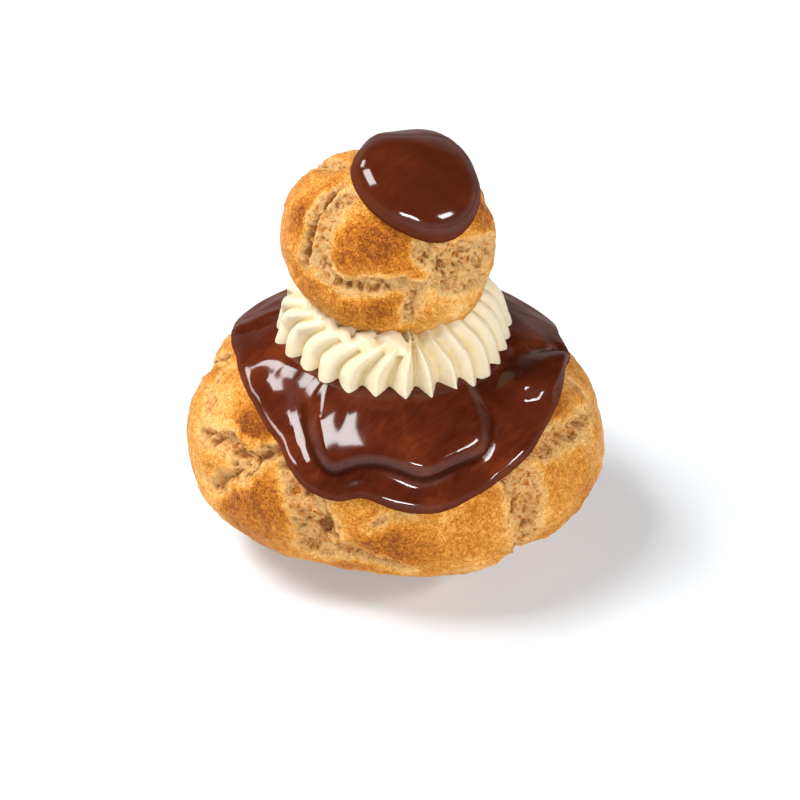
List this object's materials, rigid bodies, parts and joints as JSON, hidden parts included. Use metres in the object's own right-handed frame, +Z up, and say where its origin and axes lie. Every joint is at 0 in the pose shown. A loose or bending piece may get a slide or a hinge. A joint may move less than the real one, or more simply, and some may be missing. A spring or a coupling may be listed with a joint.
{
  "type": "religieuse choux pastry",
  "caption": "Religieuse: large iced choux bun with a collar of piped buttercream and a small iced choux bun set on top.",
  "frame": {"origin": "middle of the bounding box on the surface the pastry stands on", "axes": "+Z up through both buns, -Y towards the front, where the icing runs lowest, +X to the right seen from the front"},
  "size_m": [0.0828, 0.077, 0.0858],
  "materials": {
    "crust": "dry browned crust",
    "icing": "wet gloss",
    "cream": "satin cream"
  },
  "bodies": {
    "root": {"lower_bun": "crust", "upper_bun": "crust", "lower_icing": "icing", "upper_icing": "icing", "cream_collar": "cream"}
  },
  "joints": []
}
